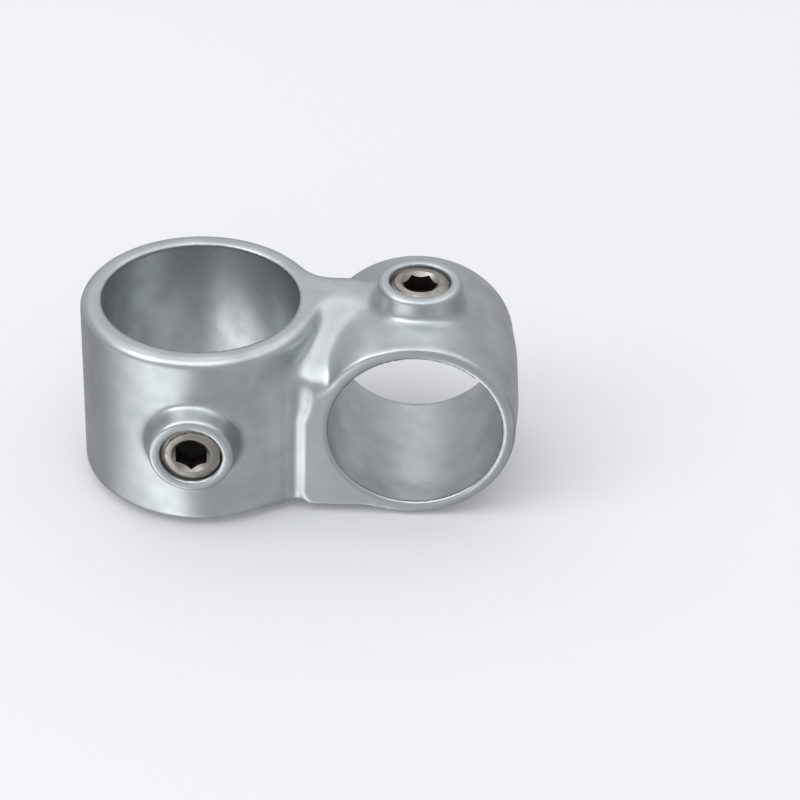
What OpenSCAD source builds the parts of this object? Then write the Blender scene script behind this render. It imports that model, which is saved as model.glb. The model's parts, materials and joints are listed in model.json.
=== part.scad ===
// Crossover clamp: two short cast sleeves side by side at right angles, each with a set screw.
// Origin at the middle of the post bore, +Z along the post bore, rail bore along Y at +X.
// All lengths in millimetres.

/* [Tubes] */
// Outside diameter of the post tube that the fitting takes
post_tube_d = 48.3; // [42.4:0.1:60.3]
// Outside diameter of the rail tube that the fitting takes
rail_tube_d = 42.4; // [33.7:0.1:48.3]
// Play on the diameter between a tube and its bore
bore_play = 1.5; // [0.8:0.1:2.4]

/* [Sleeves] */
// Wall of the post sleeve
post_wall = 5.3; // [4:0.1:8]
// Wall of the rail sleeve
rail_wall = 3.9; // [3.4:0.1:7]
// Length of the post sleeve
post_len = 48.5; // [40:0.5:60]
// Length of the rail sleeve
rail_len = 44; // [36:0.5:56]
// Metal between the two bores at their closest
bore_gap = 8.2; // [7:0.1:12]
// Rounding of the outer edges of both sleeves
edge_r = 2.5; // [1:0.1:3.2]
// Chamfer at the mouths of both bores
mouth = 0.8; // [0.3:0.1:1.5]

/* [Web] */
// How far the web reaches to the back of the post axis
web_back = 13.5; // [12:0.5:17]
// How far the web reaches to the front of the post axis
web_front = 18; // [14:0.5:19]
// How far the front shoulder of the web lies below its top
web_fall = 7.2; // [5:0.1:10]
// Slope of the ramp from that shoulder up to the top of the web
web_ramp = 26; // [22:1:34]
// Radius of the hollow that runs down the ramp between the sleeves
hollow_r = 8; // [5:0.5:12]
// Depth of that hollow below the ramp
hollow_depth = 2; // [1:0.1:3]
// Distance of the middle of the hollow from the post sleeve at the front shoulder
hollow_aside = 4.3; // [3:0.1:7]
// Angle by which the hollow runs away from the post towards the back
hollow_turn = 17; // [5:1:25]
// Step from the ends of the post sleeve down to the web
web_step = 0.5; // [0.3:0.1:3]
// How far the web stays at that height beyond the post sleeve
web_land = 2; // [1:0.5:4]
// Height on the rail sleeve, as an angle at its axis, where the web runs into it
web_angle = 64; // [46:1:66]
// Rounding of the long edges of the web
web_edge_r = 4; // [1:0.5:5]
// Height of the underside of the apron above the lowest line of the rail sleeve
apron_rise = 3.6; // [2:0.1:8]
// How far the front of the apron lies behind the end of the rail sleeve
apron_recess = 0.5; // [0.3:0.1:2]
// How far the side of the apron lies inside the flank of the rail sleeve
apron_inset = 0.4; // [0.3:0.1:2]

/* [Bosses] */
// Diameter of a set screw boss
boss_d = 20.5; // [19:0.5:24]
// Height of a boss above the sleeve
boss_rise = 5.4; // [4:0.1:8]
// Rounding of the outer edge of a boss
boss_edge_r = 1.6; // [0.5:0.1:1.8]
// Radius of the hollow flare at the foot of a boss
boss_flare_r = 3.4; // [1:0.1:4]

/* [Set screws] */
// Thread diameter of the set screws
screw_d = 16; // [12:0.5:16.5]
// Length of the set screws
screw_len = 8.4; // [7:0.1:8.6]
// Play on the diameter between a screw and its hole
screw_play = 0.16; // [0.1:0.02:0.2]
// Depth of a screw face below the boss
screw_sunk = 0.5; // [0.2:0.1:0.6]
// Width across the flats of the hexagon socket
hex_af = 8; // [5:0.5:9]
// Depth of the hexagon socket
hex_depth = 5; // [3:0.5:5.5]
// Chamfer at both ends of a set screw
screw_chamfer = 1.4; // [0.4:0.1:1.8]
// Diameter of the cup in the point of a set screw
cup_d = 9; // [6:0.5:10]
// Depth of that cup
cup_depth = 1.2; // [0.6:0.1:1.4]

/* [Hidden] */
$fn = 96;
eps = 0.01;
post_bore_r = (post_tube_d + bore_play) / 2;
rail_bore_r = (rail_tube_d + bore_play) / 2;
post_r = post_bore_r + post_wall;
rail_r = rail_bore_r + rail_wall;
// Distance between the two bore axes
reach = post_bore_r + bore_gap + rail_bore_r;
web_z = post_len / 2 - web_step;
web_shoulder = web_z - web_fall;
arc_steps = 6;
hole_d = screw_d + screw_play;
hole_chamfer = screw_chamfer / 2;
drill_angle = 140;
// Least metal between the socket and the cup of a screw
point_wall = 0.5;

function unit(v) = v / norm(v);

// Points of a convex outline, given counterclockwise, with an arc of radius r at each corner
function soft_outline(points, r) = [
    for (i = [0 : len(points) - 1])
        let (
            last = len(points) - 1,
            before = unit(points[i == 0 ? last : i - 1] - points[i]),
            after = unit(points[i == last ? 0 : i + 1] - points[i]),
            half_angle = acos(before * after) / 2,
            centre = points[i] + unit(before + after) * r / sin(half_angle),
            start = points[i] + before * r / tan(half_angle) - centre,
            sweep = 180 - 2 * half_angle
        )
        for (k = [0 : arc_steps])
            let (angle = atan2(start.y, start.x) + sweep * k / arc_steps)
            centre + r * [cos(angle), sin(angle)]
];

// Solid barrel of a sleeve, along Z, with round outer edges
module barrel(r, length) {
    rotate_extrude() {
        translate([0, -length / 2]) square([r - edge_r, length]);
        translate([0, edge_r - length / 2]) square([r, length - 2 * edge_r]);
        for (side = [-1, 1])
            translate([r - edge_r, side * (length / 2 - edge_r)]) circle(edge_r);
    }
}

// Bore along Z with a chamfer at each mouth
module bore(r, length) {
    cylinder(r = r, h = length + 2, center = true);
    for (side = [0, 1])
        mirror([0, 0, side])
            translate([0, 0, length / 2 - mouth])
                cylinder(r1 = r, r2 = r + 2 * mouth, h = 2 * mouth);
}

// Round boss along Z that stands on a sleeve of radius r and runs out in a hollow flare
module boss(r) {
    top = r + boss_rise;
    boss_r = boss_d / 2;
    foot_r = boss_r + boss_flare_r;
    foot = sqrt(r * r - foot_r * foot_r);
    rotate_extrude() {
        square([boss_r - boss_edge_r, top]);
        square([boss_r, top - boss_edge_r]);
        translate([boss_r - boss_edge_r, top - boss_edge_r]) circle(boss_edge_r);
        difference() {
            square([foot_r, foot + boss_flare_r]);
            translate([foot_r, foot + boss_flare_r]) circle(boss_flare_r);
        }
    }
}

// Hole for a set screw along Z, from the bore axis out through the boss
module screw_hole(r) {
    top = r + boss_rise;
    cylinder(d = hole_d, h = top + 1);
    translate([0, 0, top - hole_chamfer])
        cylinder(d1 = hole_d, d2 = hole_d + 4 * hole_chamfer, h = 2 * hole_chamfer);
}

// Round hollow that runs down the ramp of the web
module ramp_hollow() {
    post_side = sqrt(post_r * post_r - web_front * web_front);
    translate([post_side + hollow_aside, -web_front, web_shoulder])
        rotate([web_ramp, 0, -hollow_turn])
            translate([0, 0, hollow_r - hollow_depth])
                rotate([90, 0, 0]) cylinder(r = hollow_r, h = 2 * post_len, center = true);
}

// Web that fills the angle between the sleeves: a hollow ramp climbs from its front shoulder to its
// top, the underside is the same turned over, and both fall a little towards the rail sleeve
module web() {
    ramp_y = web_fall / tan(web_ramp) - web_front;
    back_z = web_shoulder + (web_front - web_back) * tan(web_ramp);
    section = [
        [-web_front, -web_z],
        [-ramp_y, -web_z],
        [web_back, -back_z],
        [web_back, web_z],
        [ramp_y, web_z],
        [-web_front, web_shoulder]
    ];
    land_x = post_r + web_land;
    flank_x = reach - rail_r * cos(web_angle);
    flank_z = rail_r * sin(web_angle);
    side = [[0, web_z], [land_x, web_z], [flank_x, flank_z], [reach, flank_z]];
    below = [for (i = [len(side) - 1 : -1 : 0]) [side[i].x, -side[i].y]];
    difference() {
        intersection() {
            rotate([90, 0, 90]) linear_extrude(height = reach) polygon(soft_outline(section, web_edge_r));
            rotate([90, 0, 0]) linear_extrude(height = rail_len, center = true) polygon(concat(side, below));
        }
        ramp_hollow();
        rotate([180, 0, 0]) ramp_hollow();
    }
}

// Apron that squares the lower front corner of the rail sleeve towards the post
module apron() {
    side = reach - rail_r + apron_inset;
    front = rail_len / 2 - apron_recess;
    drop = rail_r - apron_rise;
    plan = [[side, -front], [reach, -front], [reach, 0], [side, 0]];
    translate([0, 0, -drop])
        linear_extrude(height = drop) polygon(soft_outline(plan, edge_r));
}

// Grub screw along Z with its point at the origin
module set_screw() {
    hex_d = hex_af / cos(30);
    drill_tip = hex_af / 2 / tan(drill_angle / 2);
    hex_floor = max(screw_len - hex_depth, cup_depth + point_wall + drill_tip);
    point_d = screw_d - 2 * screw_chamfer;
    difference() {
        union() {
            cylinder(d1 = point_d, d2 = screw_d, h = screw_chamfer);
            translate([0, 0, screw_chamfer])
                cylinder(d = screw_d, h = screw_len - 2 * screw_chamfer);
            translate([0, 0, screw_len - screw_chamfer])
                cylinder(d1 = screw_d, d2 = point_d, h = screw_chamfer);
        }
        translate([0, 0, hex_floor])
            rotate([0, 0, 30]) cylinder(d = hex_d, h = hex_depth + 1, $fn = 6);
        translate([0, 0, hex_floor - drill_tip])
            cylinder(d1 = 0, d2 = hex_af, h = drill_tip + eps);
        translate([0, 0, -eps])
            cylinder(d1 = cup_d, d2 = 0, h = cup_depth + eps);
    }
}

// Turns a thing built along +Z to the front of the post sleeve
module to_post_front() {
    rotate([90, 0, 0]) children();
}

// Moves a thing built along +Z to the top of the rail sleeve
module to_rail_top() {
    translate([reach, 0, 0]) children();
}

// Lays a thing built along Z into the line of the rail bore
module to_rail_line() {
    translate([reach, 0, 0]) rotate([90, 0, 0]) children();
}

module cast_body() {
    color([0.68, 0.70, 0.72])
        difference() {
            union() {
                barrel(post_r, post_len);
                to_rail_line() barrel(rail_r, rail_len);
                web();
                apron();
                to_post_front() boss(post_r);
                to_rail_top() boss(rail_r);
            }
            bore(post_bore_r, post_len);
            to_rail_line() bore(rail_bore_r, rail_len);
            to_post_front() screw_hole(post_r);
            to_rail_top() screw_hole(rail_r);
        }
}

module post_set_screw() {
    color([0.52, 0.50, 0.48])
        to_post_front() translate([0, 0, post_r + boss_rise - screw_sunk - screw_len]) set_screw();
}

module rail_set_screw() {
    color([0.52, 0.50, 0.48])
        to_rail_top() translate([0, 0, rail_r + boss_rise - screw_sunk - screw_len]) set_screw();
}

cast_body();
post_set_screw();
rail_set_screw();
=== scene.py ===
import json
import math

import bpy
from mathutils import Matrix, Vector


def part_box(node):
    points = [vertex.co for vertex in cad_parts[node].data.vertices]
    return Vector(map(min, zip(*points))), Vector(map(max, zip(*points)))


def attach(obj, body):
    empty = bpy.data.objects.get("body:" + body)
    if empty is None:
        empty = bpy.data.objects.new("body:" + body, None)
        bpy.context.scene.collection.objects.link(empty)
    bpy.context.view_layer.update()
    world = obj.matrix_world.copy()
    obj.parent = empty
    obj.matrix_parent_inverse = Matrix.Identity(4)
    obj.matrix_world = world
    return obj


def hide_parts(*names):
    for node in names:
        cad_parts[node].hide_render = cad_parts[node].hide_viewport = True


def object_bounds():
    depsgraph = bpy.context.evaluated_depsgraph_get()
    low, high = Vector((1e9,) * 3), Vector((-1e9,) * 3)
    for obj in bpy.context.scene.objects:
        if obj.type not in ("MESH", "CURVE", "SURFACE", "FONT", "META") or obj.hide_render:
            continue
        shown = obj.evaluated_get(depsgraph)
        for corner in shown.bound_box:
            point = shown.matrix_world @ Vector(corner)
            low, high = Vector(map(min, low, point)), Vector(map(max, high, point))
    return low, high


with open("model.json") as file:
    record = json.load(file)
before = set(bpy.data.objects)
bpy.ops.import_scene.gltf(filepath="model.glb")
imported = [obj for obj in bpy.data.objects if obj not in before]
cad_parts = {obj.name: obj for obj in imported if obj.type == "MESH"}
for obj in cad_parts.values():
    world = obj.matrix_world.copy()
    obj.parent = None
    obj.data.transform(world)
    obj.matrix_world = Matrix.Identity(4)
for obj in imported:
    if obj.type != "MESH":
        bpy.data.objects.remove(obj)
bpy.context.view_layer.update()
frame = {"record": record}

# Casting: one piece of malleable iron, poured in a sand mould with a core for each bore, then
# fettled, tapped for the set screws and hot-dip galvanised. Two sleeves lie side by side at
# right angles, a web with a ramp and a hollow front joins them, and each has a boss for its screw.
mm = 0.001
mounts = {mount["name"]: mount for mount in frame["record"]["mounts"]}
casting_low, casting_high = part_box("cast_body")
bore_mouth = 0.8 * mm
post_half = mounts["post_bore"]["dims"]["length_mm"] / 2 * mm + bore_mouth
rail_half = mounts["rail_bore"]["dims"]["length_mm"] / 2 * mm + bore_mouth
post_r = -casting_low.x
rail_fullness = 0.2 * mm
rail_r = rail_fullness - casting_low.z
reach = mounts["rail_bore"]["pos_m"][0]
casting_sizes = {
    "Reach": reach,
    "Post radius": post_r,
    "Post half length": post_half,
    "Post bore radius": mounts["post_bore"]["dims"]["r_mm"] * mm,
    "Rail radius": rail_r,
    "Rail half length": rail_half,
    "Rail taper": 0.9 * mm,
    "Rail taper start": 8 * mm,
    "Rail bore radius": mounts["rail_bore"]["dims"]["r_mm"] * mm,
    "Rim edge": 2.5 * mm,
    "Ring edge": 1.3 * mm,
    "Bore edge": 0.8 * mm,
    "Web back": 13.5 * mm,
    "Web front": -22 * mm,
    "Web front edge": 7 * mm,
    "Fillet radius": 8 * mm,
    "Fillet aside": 25 * mm,
    "Fillet ahead": -29 * mm,
    "Web edge": 4 * mm,
    "Web half height": post_half,
    "Web dip": 1.5 * mm,
    "Web dip start": 37 * mm,
    "Web dip end": 48 * mm,
    "Web slant": 22 * mm,
    "Web slant blend": 3 * mm,
    "Web post blend": 5.5 * mm,
    "Web rail blend": 3 * mm,
    "Flank swell": 1.05,
    "Flank start": 21 * mm,
    "Flank crease": 2 * mm,
    "Apron inset": -0.7 * mm,
    "Apron recess": 0.1 * mm,
    "Apron bottom": -22.2 * mm,
    "Apron top": 3 * mm,
    "Apron edge": 2.2 * mm,
    "Apron blend": 7 * mm,
    "Boss radius": 10.4 * mm,
    "Boss draft": 0.18,
    "Boss edge": 0.9 * mm,
    "Boss blend": 3 * mm,
    "Post boss top": -casting_low.y,
    "Rail boss top": casting_high.z,
    "Hole radius": 7.75 * mm,
    "Hole edge": 0.5 * mm,
}


def new_tree(name, inputs, outputs):
    """A Geometry Nodes tree with those named sockets, its given values and its result sockets."""
    tree = bpy.data.node_groups.new(name, "GeometryNodeTree")
    for in_out, sockets in (("INPUT", inputs), ("OUTPUT", outputs)):
        for socket, kind in sockets.items():
            tree.interface.new_socket(socket, in_out=in_out, socket_type="NodeSocket" + kind)
    return tree, tree.nodes.new("NodeGroupInput").outputs, tree.nodes.new("NodeGroupOutput").inputs


def add(tree, kind, inputs, out=0, **settings):
    """Adds a node with its settings, fills its inputs in order or by name, and returns an output."""
    node = tree.nodes.new(kind)
    for setting, value in settings.items():
        setattr(node, setting, value)
    for socket, value in inputs.items() if isinstance(inputs, dict) else enumerate(inputs):
        if isinstance(value, bpy.types.NodeSocket):
            tree.links.new(value, node.inputs[socket])
        else:
            node.inputs[socket].default_value = value
    return node.outputs[out]


# Distance from a point to a barrel along Z with round edges, negative inside it
barrel, given, result = new_tree(
    "barrel",
    {"Point": "Vector", "Radius": "Float", "Half length": "Float", "Edge": "Float"},
    {"Distance": "Float"},
)
level = add(barrel, "ShaderNodeVectorMath", [given["Point"], (1, 1, 0)], operation="MULTIPLY")
around = add(barrel, "ShaderNodeVectorMath", [level], out="Value", operation="LENGTH")
height = add(barrel, "ShaderNodeSeparateXYZ", [given["Point"]], out="Z")
along = add(barrel, "ShaderNodeMath", [height], operation="ABSOLUTE")
core_r = add(barrel, "ShaderNodeMath", [given["Radius"], given["Edge"]], operation="SUBTRACT")
core_half = add(barrel, "ShaderNodeMath", [given["Half length"], given["Edge"]], operation="SUBTRACT")
past_side = add(barrel, "ShaderNodeMath", [around, core_r], operation="SUBTRACT")
past_end = add(barrel, "ShaderNodeMath", [along, core_half], operation="SUBTRACT")
past = add(barrel, "ShaderNodeCombineXYZ", [past_side, past_end])
beyond = add(barrel, "ShaderNodeVectorMath", [past, (0, 0, 0)], operation="MAXIMUM")
outside = add(barrel, "ShaderNodeVectorMath", [beyond], out="Value", operation="LENGTH")
nearest = add(barrel, "ShaderNodeMath", [past_side, past_end], operation="MAXIMUM")
inside = add(barrel, "ShaderNodeMath", [nearest, 0], operation="MINIMUM")
from_core = add(barrel, "ShaderNodeMath", [outside, inside], operation="ADD")
from_skin = add(barrel, "ShaderNodeMath", [from_core, given["Edge"]], operation="SUBTRACT")
barrel.links.new(from_skin, result["Distance"])

# Distance from a point to a block with round edges, negative inside it
block, given, result = new_tree(
    "block",
    {"Point": "Vector", "Low": "Vector", "High": "Vector", "Edge": "Float"},
    {"Distance": "Float"},
)
both = add(block, "ShaderNodeVectorMath", [given["Low"], given["High"]], operation="ADD")
middle = add(block, "ShaderNodeVectorMath", {"Vector": both, "Scale": 0.5}, operation="SCALE")
half = add(block, "ShaderNodeVectorMath", [given["High"], middle], operation="SUBTRACT")
core_half = add(block, "ShaderNodeVectorMath", [half, given["Edge"]], operation="SUBTRACT")
off_middle = add(block, "ShaderNodeVectorMath", [given["Point"], middle], operation="SUBTRACT")
away = add(block, "ShaderNodeVectorMath", [off_middle], operation="ABSOLUTE")
past = add(block, "ShaderNodeVectorMath", [away, core_half], operation="SUBTRACT")
beyond = add(block, "ShaderNodeVectorMath", [past, (0, 0, 0)], operation="MAXIMUM")
outside = add(block, "ShaderNodeVectorMath", [beyond], out="Value", operation="LENGTH")
split = add(block, "ShaderNodeSeparateXYZ", [past]).node.outputs
nearest = add(block, "ShaderNodeMath", [split["X"], split["Y"]], operation="MAXIMUM")
nearest = add(block, "ShaderNodeMath", [nearest, split["Z"]], operation="MAXIMUM")
inside = add(block, "ShaderNodeMath", [nearest, 0], operation="MINIMUM")
from_core = add(block, "ShaderNodeMath", [outside, inside], operation="ADD")
from_skin = add(block, "ShaderNodeMath", [from_core, given["Edge"]], operation="SUBTRACT")
block.links.new(from_skin, result["Distance"])

# Distance from a point to the whole casting: sleeves, web and bosses run together, then the cores
casting_distance, given, result = new_tree(
    "casting_distance",
    {"Point": "Vector", **dict.fromkeys(casting_sizes, "Float")},
    {"Distance": "Float"},
)
tree = casting_distance
rail_middle = add(tree, "ShaderNodeCombineXYZ", [given["Reach"]])
rail_up = add(tree, "ShaderNodeVectorMath", [given["Point"], rail_middle], operation="SUBTRACT")
rail_line = add(
    tree, "ShaderNodeVectorRotate", {"Vector": rail_up, "Angle": math.pi / 2}, rotation_type="X_AXIS"
)
post_front = add(
    tree,
    "ShaderNodeVectorRotate",
    {"Vector": given["Point"], "Angle": -math.pi / 2},
    rotation_type="X_AXIS",
)
post_sleeve = add(
    tree,
    "GeometryNodeGroup",
    [given["Point"], given["Post radius"], given["Post half length"], given["Rim edge"]],
    node_tree=barrel,
)
split = add(tree, "ShaderNodeSeparateXYZ", [given["Point"]]).node.outputs
aside = add(tree, "ShaderNodeMath", [split["Y"]], operation="ABSOLUTE")
taper = add(
    tree,
    "ShaderNodeMapRange",
    [aside, given["Rail taper start"], given["Rail half length"], 0, given["Rail taper"]],
    interpolation_type="SMOOTHSTEP",
)
sleeve_r = add(tree, "ShaderNodeMath", [given["Rail radius"], taper], operation="SUBTRACT")
rail_sleeve = add(
    tree,
    "GeometryNodeGroup",
    [rail_line, sleeve_r, given["Rail half length"], given["Ring edge"]],
    node_tree=barrel,
)
dip = add(
    tree,
    "ShaderNodeMapRange",
    [split["X"], given["Web dip start"], given["Web dip end"], 0, given["Web dip"]],
    interpolation_type="SMOOTHSTEP",
)
web_top = add(tree, "ShaderNodeMath", [given["Web half height"], dip], operation="SUBTRACT")
web_bottom = add(tree, "ShaderNodeMath", [web_top, -1], operation="MULTIPLY")
far_front = add(tree, "ShaderNodeMath", [given["Rail half length"], -2], operation="MULTIPLY")
web_low = add(tree, "ShaderNodeCombineXYZ", [0, far_front, web_bottom])
web_high = add(tree, "ShaderNodeCombineXYZ", [given["Reach"], given["Web back"], web_top])
web = add(
    tree, "GeometryNodeGroup", [given["Point"], web_low, web_high, given["Web edge"]], node_tree=block
)
web_ramp = math.radians(26)
slant = (0, -math.sin(web_ramp), math.cos(web_ramp))
off_slant = add(
    tree, "ShaderNodeVectorMath", [given["Point"], slant], out="Value", operation="DOT_PRODUCT"
)
aslant = add(tree, "ShaderNodeMath", [off_slant], operation="ABSOLUTE")
past_slant = add(tree, "ShaderNodeMath", [aslant, given["Web slant"]], operation="SUBTRACT")
# The flank of the rail sleeve swells behind the ring and meets the ramp in a crease; the underside
# is the same turned over
over = add(tree, "ShaderNodeMath", [off_slant], operation="SIGN")
facing = add(tree, "ShaderNodeCombineXYZ", [1, over, over])
turned = add(tree, "ShaderNodeVectorMath", [rail_up, facing], operation="MULTIPLY")
turned = add(tree, "ShaderNodeSeparateXYZ", [turned]).node.outputs
behind = add(tree, "ShaderNodeMath", [turned["Y"], given["Flank start"]], operation="ADD")
swell = add(tree, "ShaderNodeMath", [behind, given["Flank swell"]], operation="MULTIPLY")
flank_r = add(tree, "ShaderNodeMath", [given["Rail radius"], swell], operation="ADD")
flank_up = add(tree, "ShaderNodeMath", [turned["Z"], swell], operation="ADD")
off_line = add(tree, "ShaderNodeCombineXYZ", [turned["X"], flank_up])
off_line = add(tree, "ShaderNodeVectorMath", [off_line], out="Value", operation="LENGTH")
past_flank = add(tree, "ShaderNodeMath", [off_line, flank_r], operation="SUBTRACT")
past_top = add(
    tree, "ShaderNodeMath", [past_slant, past_flank, given["Flank crease"]], operation="SMOOTH_MIN"
)
web = add(tree, "ShaderNodeMath", [web, past_top, given["Web slant blend"]], operation="SMOOTH_MAX")
# The front of the web is a wide hollow fillet that stands upright between the two sleeves
past_front = add(tree, "ShaderNodeMath", [given["Web front"], split["Y"]], operation="SUBTRACT")
fillet_line = add(
    tree, "ShaderNodeCombineXYZ", [given["Fillet aside"], given["Fillet ahead"], split["Z"]]
)
from_line = add(
    tree, "ShaderNodeVectorMath", [given["Point"], fillet_line], out="Value", operation="DISTANCE"
)
in_fillet = add(tree, "ShaderNodeMath", [given["Fillet radius"], from_line], operation="SUBTRACT")
past_front = add(tree, "ShaderNodeMath", [past_front, in_fillet], operation="MAXIMUM")
web = add(tree, "ShaderNodeMath", [web, past_front, given["Web front edge"]], operation="SMOOTH_MAX")
rail_side = add(
    tree, "ShaderNodeMath", [rail_sleeve, web, given["Web rail blend"]], operation="SMOOTH_MIN"
)
# The apron squares the lower front corner of the rail sleeve towards the post
flank = add(tree, "ShaderNodeMath", [given["Reach"], given["Rail radius"]], operation="SUBTRACT")
apron_side = add(tree, "ShaderNodeMath", [flank, given["Apron inset"]], operation="ADD")
apron_front = add(
    tree, "ShaderNodeMath", [given["Apron recess"], given["Rail half length"]], operation="SUBTRACT"
)
apron_low = add(tree, "ShaderNodeCombineXYZ", [apron_side, apron_front, given["Apron bottom"]])
apron_high = add(tree, "ShaderNodeCombineXYZ", [given["Reach"], 0, given["Apron top"]])
apron = add(
    tree, "GeometryNodeGroup", [given["Point"], apron_low, apron_high, given["Apron edge"]], node_tree=block
)
rail_side = add(
    tree, "ShaderNodeMath", [rail_side, apron, given["Apron blend"]], operation="SMOOTH_MIN"
)
past_ring = add(tree, "ShaderNodeMath", [aside, given["Rail half length"]], operation="SUBTRACT")
rail_side = add(tree, "ShaderNodeMath", [rail_side, past_ring], operation="MAXIMUM")
solid = add(
    tree, "ShaderNodeMath", [post_sleeve, rail_side, given["Web post blend"]], operation="SMOOTH_MIN"
)
upward = add(tree, "ShaderNodeMath", [split["Z"]], operation="ABSOLUTE")
past_rim = add(tree, "ShaderNodeMath", [upward, given["Post half length"]], operation="SUBTRACT")
past_web = add(tree, "ShaderNodeMath", [split["X"], given["Web dip start"]], operation="SUBTRACT")
past_web = add(tree, "ShaderNodeMath", [past_web, 0], operation="MAXIMUM")
past_rim = add(tree, "ShaderNodeMath", [past_rim, past_web], operation="SUBTRACT")
solid = add(tree, "ShaderNodeMath", [solid, past_rim], operation="MAXIMUM")
for point, top in ((post_front, given["Post boss top"]), (rail_up, given["Rail boss top"])):
    half_top = add(tree, "ShaderNodeMath", [top, 0.5], operation="MULTIPLY")
    centre = add(tree, "ShaderNodeCombineXYZ", {"Z": half_top})
    from_middle = add(tree, "ShaderNodeVectorMath", [point, centre], operation="SUBTRACT")
    height = add(tree, "ShaderNodeSeparateXYZ", [point], out="Z")
    below_top = add(tree, "ShaderNodeMath", [top, height], operation="SUBTRACT")
    spread = add(
        tree,
        "ShaderNodeMath",
        [below_top, given["Boss draft"], given["Boss radius"]],
        operation="MULTIPLY_ADD",
    )
    boss = add(
        tree, "GeometryNodeGroup", [from_middle, spread, half_top, given["Boss edge"]], node_tree=barrel
    )
    solid = add(tree, "ShaderNodeMath", [solid, boss, given["Boss blend"]], operation="SMOOTH_MIN")
core_half = 60 * mm
for point, radius, edge, start in (
    (given["Point"], given["Post bore radius"], given["Bore edge"], 0),
    (rail_line, given["Rail bore radius"], given["Bore edge"], 0),
    (post_front, given["Hole radius"], given["Hole edge"], core_half),
    (rail_up, given["Hole radius"], given["Hole edge"], core_half),
):
    from_middle = add(tree, "ShaderNodeVectorMath", [point, (0, 0, start)], operation="SUBTRACT")
    core = add(tree, "GeometryNodeGroup", [from_middle, radius, core_half, 0], node_tree=barrel)
    round_core = add(tree, "ShaderNodeMath", [core, -1], operation="MULTIPLY")
    solid = add(tree, "ShaderNodeMath", [solid, round_core, edge], operation="SMOOTH_MAX")
tree.links.new(solid, result["Distance"])

# Skin of the casting: cells over its box, a mesh where the distance is nil, then each point drawn
# on to that skin along the slope of the distance
casting_tree, given, result = new_tree(
    "casting",
    {
        **dict.fromkeys(casting_sizes, "Float"),
        "Low corner": "Vector",
        "High corner": "Vector",
        "Cell": "Float",
        "Finish": "Material",
    },
    {"Geometry": "Geometry"},
)
tree = casting_tree
place = add(tree, "GeometryNodeInputPosition", [])
sizes_in = {name: given[name] for name in casting_sizes}
here = add(tree, "GeometryNodeGroup", {"Point": place, **sizes_in}, node_tree=casting_distance)
depth = add(tree, "ShaderNodeMath", [here, -1], operation="MULTIPLY")
span = add(
    tree, "ShaderNodeVectorMath", [given["High corner"], given["Low corner"]], operation="SUBTRACT"
)
counts = add(tree, "ShaderNodeVectorMath", [span, given["Cell"]], operation="DIVIDE")
count = add(tree, "ShaderNodeSeparateXYZ", [counts]).node.outputs
volume = add(
    tree,
    "GeometryNodeVolumeCube",
    {
        "Density": depth,
        "Background": -1,
        "Min": given["Low corner"],
        "Max": given["High corner"],
        "Resolution X": count["X"],
        "Resolution Y": count["Y"],
        "Resolution Z": count["Z"],
    },
)
skin = add(
    tree, "GeometryNodeVolumeToMesh", {"Volume": volume, "Threshold": 0}, resolution_mode="GRID"
)
probe = 0.05 * mm
slopes = []
for axis in ((probe, 0, 0), (0, probe, 0), (0, 0, probe)):
    aside = add(tree, "ShaderNodeVectorMath", [place, axis], operation="ADD")
    there = add(tree, "GeometryNodeGroup", {"Point": aside, **sizes_in}, node_tree=casting_distance)
    rise = add(tree, "ShaderNodeMath", [there, here], operation="SUBTRACT")
    slopes.append(add(tree, "ShaderNodeMath", [rise, probe], operation="DIVIDE"))
slope = add(tree, "ShaderNodeCombineXYZ", slopes)
steepness = add(tree, "ShaderNodeVectorMath", [slope, slope], out="Value", operation="DOT_PRODUCT")
share = add(tree, "ShaderNodeMath", [depth, steepness], operation="DIVIDE")
to_skin = add(tree, "ShaderNodeVectorMath", {"Vector": slope, "Scale": share}, operation="SCALE")
for _ in range(2):
    skin = add(tree, "GeometryNodeSetPosition", {"Geometry": skin, "Offset": to_skin})
skin = add(tree, "GeometryNodeSetShadeSmooth", {"Geometry": skin, "Shade Smooth": True})
skin = add(tree, "GeometryNodeRealizeInstances", {"Geometry": skin})
skin = add(tree, "GeometryNodeSetMaterial", {"Geometry": skin, "Material": given["Finish"]})
tree.links.new(skin, result["Geometry"])


def linear(colour):
    """An sRGB hex colour as the linear RGBA that a shader takes."""
    shares = [int(colour[i : i + 2], 16) / 255 for i in (1, 3, 5)]
    return [c / 12.92 if c <= 0.04045 else ((c + 0.055) / 1.055) ** 2.4 for c in shares] + [1]


def new_material(name):
    """An empty material with its tree and its surface socket."""
    material = bpy.data.materials.new(name)
    material.use_nodes = True
    nodes = material.node_tree.nodes
    nodes.clear()
    return material, material.node_tree, nodes.new("ShaderNodeOutputMaterial").inputs["Surface"]


# Hot-dip zinc on sand-cast iron: a satin light grey with a cool cast, cloudy where the zinc cooled
# unevenly, over a skin that keeps the faint grain of the mould
galvanised, tree, surface = new_material("hot_dip_galvanised_iron")
cloud_size = 9 * mm
run_size = 14 * mm
grain_size = 1.1 * mm
coordinates = add(tree, "ShaderNodeTexCoord", [], out="Object")
clouds = add(
    tree,
    "ShaderNodeTexNoise",
    {"Vector": coordinates, "Scale": 1 / cloud_size, "Detail": 3, "Roughness": 0.55},
)
tint = add(tree, "ShaderNodeValToRGB", [clouds])
shades = tint.node.color_ramp.elements
shades[0].position, shades[1].position = 0.35, 0.68
shades[0].color, shades[1].color = linear("#B3B8BA"), linear("#C4C8C9")
rough_zinc, smooth_zinc = 0.4, 0.3
gloss = add(tree, "ShaderNodeMapRange", [clouds, 0.3, 0.7, rough_zinc, smooth_zinc])
runs = add(tree, "ShaderNodeTexNoise", {"Vector": coordinates, "Scale": 1 / run_size, "Detail": 1})
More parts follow.
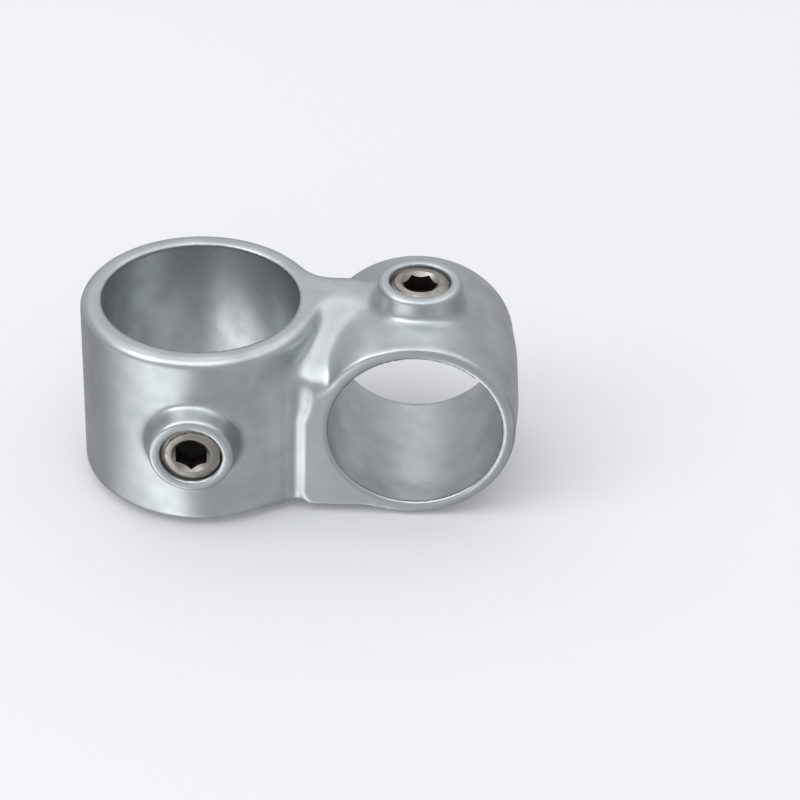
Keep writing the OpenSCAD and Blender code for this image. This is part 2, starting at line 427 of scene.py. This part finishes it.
swell = add(tree, "ShaderNodeBump", {"Height": runs, "Strength": 0.25, "Distance": 0.5 * mm})
grain = add(tree, "ShaderNodeTexNoise", {"Vector": coordinates, "Scale": 1 / grain_size, "Detail": 2})
texture = add(
    tree, "ShaderNodeBump", {"Height": grain, "Strength": 0.2, "Distance": 0.1 * mm, "Normal": swell}
)
shader = add(
    tree,
    "ShaderNodeBsdfPrincipled",
    {"Base Color": tint, "Metallic": 1, "Roughness": gloss, "Normal": texture},
)
tree.links.new(shader, surface)


def grow(name, tree, sizes):
    """Runs a Geometry Nodes tree with those sizes and keeps its result as a plain mesh."""
    piece = bpy.data.objects.new(name, bpy.data.meshes.new(name + "_start"))
    bpy.context.scene.collection.objects.link(piece)
    modifier = piece.modifiers.new(tree.name, "NODES")
    modifier.node_group = tree
    for socket in tree.interface.items_tree:
        if socket.in_out == "INPUT":
            modifier[socket.identifier] = sizes[socket.name]
    shaped = piece.evaluated_get(bpy.context.evaluated_depsgraph_get())
    mesh = bpy.data.meshes.new_from_object(shaped)
    piece.modifiers.remove(modifier)
    piece.data = mesh
    mesh.name = name
    return piece


casting_cell = 0.66 * mm
margin = Vector.Fill(3, 2 * casting_cell)
casting = grow(
    "casting",
    casting_tree,
    {
        **casting_sizes,
        "Low corner": casting_low - margin,
        "High corner": casting_high + margin,
        "Cell": casting_cell,
        "Finish": galvanised,
    },
)
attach(casting, "casting")
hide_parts("cast_body")

# Set screws: turned from hardened steel with a coarse rolled thread, a countersunk hexagon socket for
# the key and a cupped point for a firm grip. Each screws down through its boss; the plating is dull
# and the socket is painted near black as painted shade, for the shadow deep inside it.
screw_sizes = {
    "Pitch": 2 * mm,
    "Thread depth": 1.2 * mm,
    "Chamfer": 1.4 * mm,
    "Chamfer height": 0.8 * mm,
    "Socket width": 7.7 * mm,
    "Socket depth": 5 * mm,
    "Countersink": 1.1 * mm,
    "Countersink radius": 4.9 * mm,
    "Cup radius": 4.5 * mm,
    "Cup depth": 1.2 * mm,
}
screw_tree, given, result = new_tree(
    "set_screw",
    {
        "Radius": "Float",
        "Length": "Float",
        **dict.fromkeys(screw_sizes, "Float"),
        "Sides": "Int",
        "Rows": "Int",
        "Plating": "Material",
        "Socket painted shade": "Material",
    },
    {"Geometry": "Geometry"},
)
tree = screw_tree
blank = add(
    tree,
    "GeometryNodeMeshCylinder",
    {
        "Vertices": given["Sides"],
        "Side Segments": given["Rows"],
        "Radius": given["Radius"],
        "Depth": given["Length"],
    },
    out="Mesh",
)
place = add(tree, "GeometryNodeInputPosition", [])
split = add(tree, "ShaderNodeSeparateXYZ", [place]).node.outputs
half_length = add(tree, "ShaderNodeMath", [given["Length"], 0.5], operation="MULTIPLY")
# The thread winds once round for each pitch; its flanks run between a flat crest and a flat root
angle = add(tree, "ShaderNodeMath", [split["Y"], split["X"]], operation="ARCTAN2")
turns = add(tree, "ShaderNodeMath", [angle, 2 * math.pi], operation="DIVIDE")
pitches = add(tree, "ShaderNodeMath", [split["Z"], given["Pitch"]], operation="DIVIDE")
winding = add(tree, "ShaderNodeMath", [pitches, turns], operation="SUBTRACT")
flank = add(tree, "ShaderNodeMath", [winding, 0.5], operation="PINGPONG")
crest_end, root_start = 0.06, 0.38
cut = add(tree, "ShaderNodeMapRange", [flank, crest_end, root_start, 0, given["Thread depth"]])
thread_r = add(tree, "ShaderNodeMath", [given["Radius"], cut], operation="SUBTRACT")
height = add(tree, "ShaderNodeMath", [split["Z"]], operation="ABSOLUTE")
from_end = add(tree, "ShaderNodeMath", [half_length, height], operation="SUBTRACT")
end_r = add(tree, "ShaderNodeMath", [given["Radius"], given["Chamfer"]], operation="SUBTRACT")
chamfer_r = add(
    tree, "ShaderNodeMapRange", [from_end, 0, given["Chamfer height"], end_r, given["Radius"]]
)
turned_r = add(tree, "ShaderNodeMath", [thread_r, chamfer_r], operation="MINIMUM")
share = add(tree, "ShaderNodeMath", [turned_r, given["Radius"]], operation="DIVIDE")
shrink = add(tree, "ShaderNodeCombineXYZ", [share, share, 1])
turned = add(tree, "ShaderNodeVectorMath", [place, shrink], operation="MULTIPLY")
screw = add(tree, "GeometryNodeSetPosition", {"Geometry": blank, "Position": turned})
# Socket, drill point, countersink and cup, each cut by a body that runs a little further
proud = 0.05 * mm
socket_r = add(tree, "ShaderNodeMath", [given["Socket width"], 0.5], operation="MULTIPLY")
corner_r = add(tree, "ShaderNodeMath", [socket_r, math.cos(math.pi / 6)], operation="DIVIDE")
socket_floor = add(tree, "ShaderNodeMath", [half_length, given["Socket depth"]], operation="SUBTRACT")
drill_r = add(tree, "ShaderNodeMath", [socket_r, proud], operation="SUBTRACT")
drill_slope = math.tan(math.radians(20))
drill_tip = add(tree, "ShaderNodeMath", [drill_r, drill_slope], operation="MULTIPLY")
drill_deep = add(tree, "ShaderNodeMath", [drill_tip, proud], operation="ADD")
drill_low = add(tree, "ShaderNodeMath", [socket_floor, drill_tip], operation="SUBTRACT")
sink_low = add(tree, "ShaderNodeMath", [half_length, given["Countersink"]], operation="SUBTRACT")
sink_r = given["Countersink radius"]
sink_low_r = add(tree, "ShaderNodeMath", [sink_r, given["Countersink"]], operation="SUBTRACT")
sink_high_r = add(tree, "ShaderNodeMath", [sink_r, given["Countersink"]], operation="ADD")
sink_deep = add(tree, "ShaderNodeMath", [given["Countersink"], 2], operation="MULTIPLY")
below_cup = add(tree, "ShaderNodeMath", [half_length, given["Cup depth"]], operation="ADD")
cup_low = add(tree, "ShaderNodeMath", [below_cup, -1], operation="MULTIPLY")
cup_low_r = add(tree, "ShaderNodeMath", [given["Cup radius"], 2], operation="MULTIPLY")
cup_deep = add(tree, "ShaderNodeMath", [given["Cup depth"], 2], operation="MULTIPLY")
for low, deep, low_r, high_r, sides, turn in (
    (socket_floor, given["Length"], corner_r, corner_r, 6, math.pi / 6),
    (drill_low, drill_deep, 0, drill_r, given["Sides"], 0),
    (sink_low, sink_deep, sink_low_r, sink_high_r, given["Sides"], 0),
    (cup_low, cup_deep, cup_low_r, 0, given["Sides"], 0),
):
    body = add(
        tree,
        "GeometryNodeMeshCone",
        {"Vertices": sides, "Radius Bottom": low_r, "Radius Top": high_r, "Depth": deep},
        out="Mesh",
    )
    lift = add(tree, "ShaderNodeCombineXYZ", {"Z": low})
    body = add(
        tree, "GeometryNodeTransform", {"Geometry": body, "Translation": lift, "Rotation": (0, 0, turn)}
    )
    screw = add(
        tree, "GeometryNodeMeshBoolean", {"Mesh 1": screw, "Mesh 2": body}, operation="DIFFERENCE"
    )
edge_angle = add(tree, "GeometryNodeInputMeshEdgeAngle", [])
sharp_angle = math.radians(30)
sharp = add(tree, "FunctionNodeCompare", [edge_angle, sharp_angle], operation="GREATER_THAN")
screw = add(tree, "GeometryNodeSetShadeSmooth", {"Geometry": screw, "Shade Smooth": True})
screw = add(
    tree,
    "GeometryNodeSetShadeSmooth",
    {"Geometry": screw, "Selection": sharp, "Shade Smooth": False},
    domain="EDGE",
)
# Faces of the hex socket and drill point, which get the painted shade: near black for the shadow deep
# inside
level = add(tree, "ShaderNodeVectorMath", [place, (1, 1, 0)], operation="MULTIPLY")
around = add(tree, "ShaderNodeVectorMath", [level], out="Value", operation="LENGTH")
inside = add(tree, "FunctionNodeCompare", [around, corner_r], operation="LESS_THAN")
below = add(tree, "FunctionNodeCompare", [split["Z"], sink_low], operation="LESS_THAN")
above = add(tree, "FunctionNodeCompare", [split["Z"], drill_low], operation="GREATER_THAN")
in_socket = add(tree, "FunctionNodeBooleanMath", [inside, below], operation="AND")
in_socket = add(tree, "FunctionNodeBooleanMath", [in_socket, above], operation="AND")
screw = add(tree, "GeometryNodeRealizeInstances", {"Geometry": screw})
screw = add(tree, "GeometryNodeSetMaterial", {"Geometry": screw, "Material": given["Plating"]})
# The socket faces take the painted shade material in place of the plating
screw = add(
    tree,
    "GeometryNodeSetMaterial",
    {"Geometry": screw, "Selection": in_socket, "Material": given["Socket painted shade"]},
)
tree.links.new(screw, result["Geometry"])

# Dull plating on turned steel: a warm mid grey, a little uneven, with a soft sheen
steel, tree, surface = new_material("dull_plated_steel")
patch_size = 2.5 * mm
coordinates = add(tree, "ShaderNodeTexCoord", [], out="Object")
patches = add(tree, "ShaderNodeTexNoise", {"Vector": coordinates, "Scale": 1 / patch_size, "Detail": 3})
tint = add(tree, "ShaderNodeValToRGB", [patches])
shades = tint.node.color_ramp.elements
shades[0].position, shades[1].position = 0.3, 0.7
shades[0].color, shades[1].color = linear("#918D88"), linear("#AAA6A0")
rough_steel, smooth_steel = 0.45, 0.34
gloss = add(tree, "ShaderNodeMapRange", [patches, 0.3, 0.7, rough_steel, smooth_steel])
shader = add(tree, "ShaderNodeBsdfPrincipled", {"Base Color": tint, "Metallic": 1, "Roughness": gloss})
tree.links.new(shader, surface)

# Painted shade in the socket: a near-black, almost glossless steel that stands for the shadow deep inside
# the hex socket, so almost no light comes back out of it
socket_shade, tree, surface = new_material("socket_painted_shade")
shader = add(
    tree,
    "ShaderNodeBsdfPrincipled",
    {"Base Color": linear("#1C1814"), "Roughness": 0.6, "Specular IOR Level": 0.2},
)
tree.links.new(shader, surface)

thread_rows = 84
thread_sides = 96
screw_r = 7.65 * mm
for node, body, lean, turn in (
    ("post_set_screw", "post_screw", math.pi / 2, 0),
    ("rail_set_screw", "rail_screw", 0, math.pi / 6),
):
    low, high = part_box(node)
    screw = grow(
        node.replace("set_", ""),
        screw_tree,
        {
            "Radius": screw_r,
            "Length": min(high - low),
            **screw_sizes,
            "Sides": thread_sides,
            "Rows": thread_rows,
            "Plating": steel,
            "Socket painted shade": socket_shade,
        },
    )
    stand = Matrix.Rotation(lean, 4, "X") @ Matrix.Rotation(turn, 4, "Z")
    screw.data.transform(Matrix.Translation((low + high) / 2) @ stand)
    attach(screw, body)
    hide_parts(node)

# Studio: a pale matt floor under the fitting, a broad soft box over the camera and a smaller one to
# its left. The metal sees no floor but the room: a ceiling that lightens upwards and, below eye
# level, grey walls with a light gap at the front left, which draw the bands down the sleeves.
floor_half = 3
floor_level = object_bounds()[0][2]
corners = [(-1, -1), (1, -1), (1, 1), (-1, 1)]
floor = bpy.data.objects.new("floor", bpy.data.meshes.new("floor"))
floor.data.from_pydata(
    [(x * floor_half, y * floor_half, floor_level) for x, y in corners], [], [(0, 1, 2, 3)]
)
bpy.context.scene.collection.objects.link(floor)
floor.visible_glossy = False

# Pale matt board: near white and without sheen, so that only the soft shadow shows on it
pale, tree, surface = new_material("pale_matt_board")
shader = add(
    tree,
    "ShaderNodeBsdfPrincipled",
    {"Base Color": linear("#F4F5F6"), "Roughness": 0.9, "Specular IOR Level": 0.1},
)
tree.links.new(shader, surface)
floor.data.materials.append(pale)

world = bpy.data.worlds.new("studio")
world.use_nodes = True
tree = world.node_tree
sight = add(tree, "ShaderNodeTexCoord", [], out="Generated")
split = add(tree, "ShaderNodeSeparateXYZ", [sight]).node.outputs
frontward = add(tree, "ShaderNodeMath", [split["Y"], -1], operation="MULTIPLY")
bearing = add(tree, "ShaderNodeMath", [split["X"], frontward], operation="ARCTAN2")
share = add(tree, "ShaderNodeMapRange", [bearing, -math.pi, math.pi, 0, 1])
walls = add(tree, "ShaderNodeValToRGB", [share])
ceiling = add(tree, "ShaderNodeValToRGB", [split["Z"]])
wall_tones = (
    (-131, 0.5), (-104, 0.42), (-68, 1.25), (-32, 2.1), (2, 0.5), (50, 0.68), (96, 0.38), (150, 0.5)
)
ceiling_tones = ((0.5, 0.62), (0.62, 1.05), (0.75, 1.45), (0.93, 1.3))
for side, ends, tones in (
    (walls, (0.38, 0.4), [(azimuth / 360 + 0.5, tone) for azimuth, tone in wall_tones]),
    (ceiling, (0.66, 1), ceiling_tones),
):
    stops = side.node.color_ramp.elements
    for position, tone in tones:
        stops.new(position).color = (tone, tone, tone, 1)
    for end, tone in zip((0, -1), ends):
        stops[end].color = (tone, tone, tone, 1)
    side.node.color_ramp.interpolation = "EASE"
walls_end, ceiling_start = -0.3, 0.05
upper = add(
    tree,
    "ShaderNodeMapRange",
    [split["Z"], walls_end, ceiling_start, 0, 1],
    interpolation_type="SMOOTHSTEP",
)
room = add(tree, "ShaderNodeMapRange", [upper, 0, 1, walls, ceiling])
seen = add(tree, "ShaderNodeLightPath", []).node.outputs
direct = add(
    tree, "ShaderNodeMath", [seen["Is Camera Ray"], seen["Is Glossy Ray"]], operation="MAXIMUM"
)
direct = add(tree, "ShaderNodeMath", [direct, seen["Is Transmission Ray"]], operation="MAXIMUM")
fill_strength = 0.83
strength = add(tree, "ShaderNodeMapRange", [direct, 0, 1, fill_strength, room])
background = tree.nodes["Background"]
background.inputs["Color"].default_value = linear("#F7F8FA")
tree.links.new(strength, background.inputs["Strength"])
bpy.context.scene.world = world

object_middle = (casting_low + casting_high) / 2
for name, azimuth, elevation, distance, size, power in (
    ("top_soft_box", -8, 66, 2.0, 1.6, 5.5),
    ("left_soft_box", -62, 40, 2.0, 1.1, 8),
):
    turn, lift = math.radians(azimuth), math.radians(elevation)
    level_turn = Vector((math.sin(turn), -math.cos(turn), 0))
    towards = level_turn * math.cos(lift) + Vector((0, 0, math.sin(lift)))
    light = bpy.data.lights.new(name, "AREA")
    light.shape = "SQUARE"
    light.size = size
    light.energy = power
    lamp = bpy.data.objects.new(name, light)
    lamp.location = object_middle + towards * distance
    lamp.rotation_euler = towards.to_track_quat("Z", "Y").to_euler()
    bpy.context.scene.collection.objects.link(lamp)

# Camera: a long lens a good arm's length away, a little turned about its own line of sight. It
# looks down on the post screw's side and keeps the fitting left of the middle.
view_lift = math.radians(35.08)
view_turn = math.radians(-0.08)
view_roll = math.radians(2.01)
view_distance = 707 * mm
origin_aside = -50.83 * mm
origin_up = 6.35 * mm
forward = Vector(
    (
        -math.sin(view_turn) * math.cos(view_lift),
        math.cos(view_turn) * math.cos(view_lift),
        -math.sin(view_lift),
    )
)
level_right = Vector((math.cos(view_turn), math.sin(view_turn), 0))
level_up = level_right.cross(forward)
right = level_right * math.cos(view_roll) + level_up * math.sin(view_roll)
up = level_up * math.cos(view_roll) - level_right * math.sin(view_roll)
camera = bpy.data.objects.new("camera", bpy.data.cameras.new("camera"))
camera.data.lens = 124.02
camera.data.sensor_width = 36
camera.data.clip_start = 10 * mm
camera.data.clip_end = 100
camera.matrix_world = Matrix((right, up, -forward)).transposed().to_4x4()
camera.location = -(right * origin_aside + up * origin_up + forward * view_distance)
bpy.context.scene.collection.objects.link(camera)
bpy.context.scene.camera = camera
bpy.context.scene.view_settings.view_transform = "Standard"
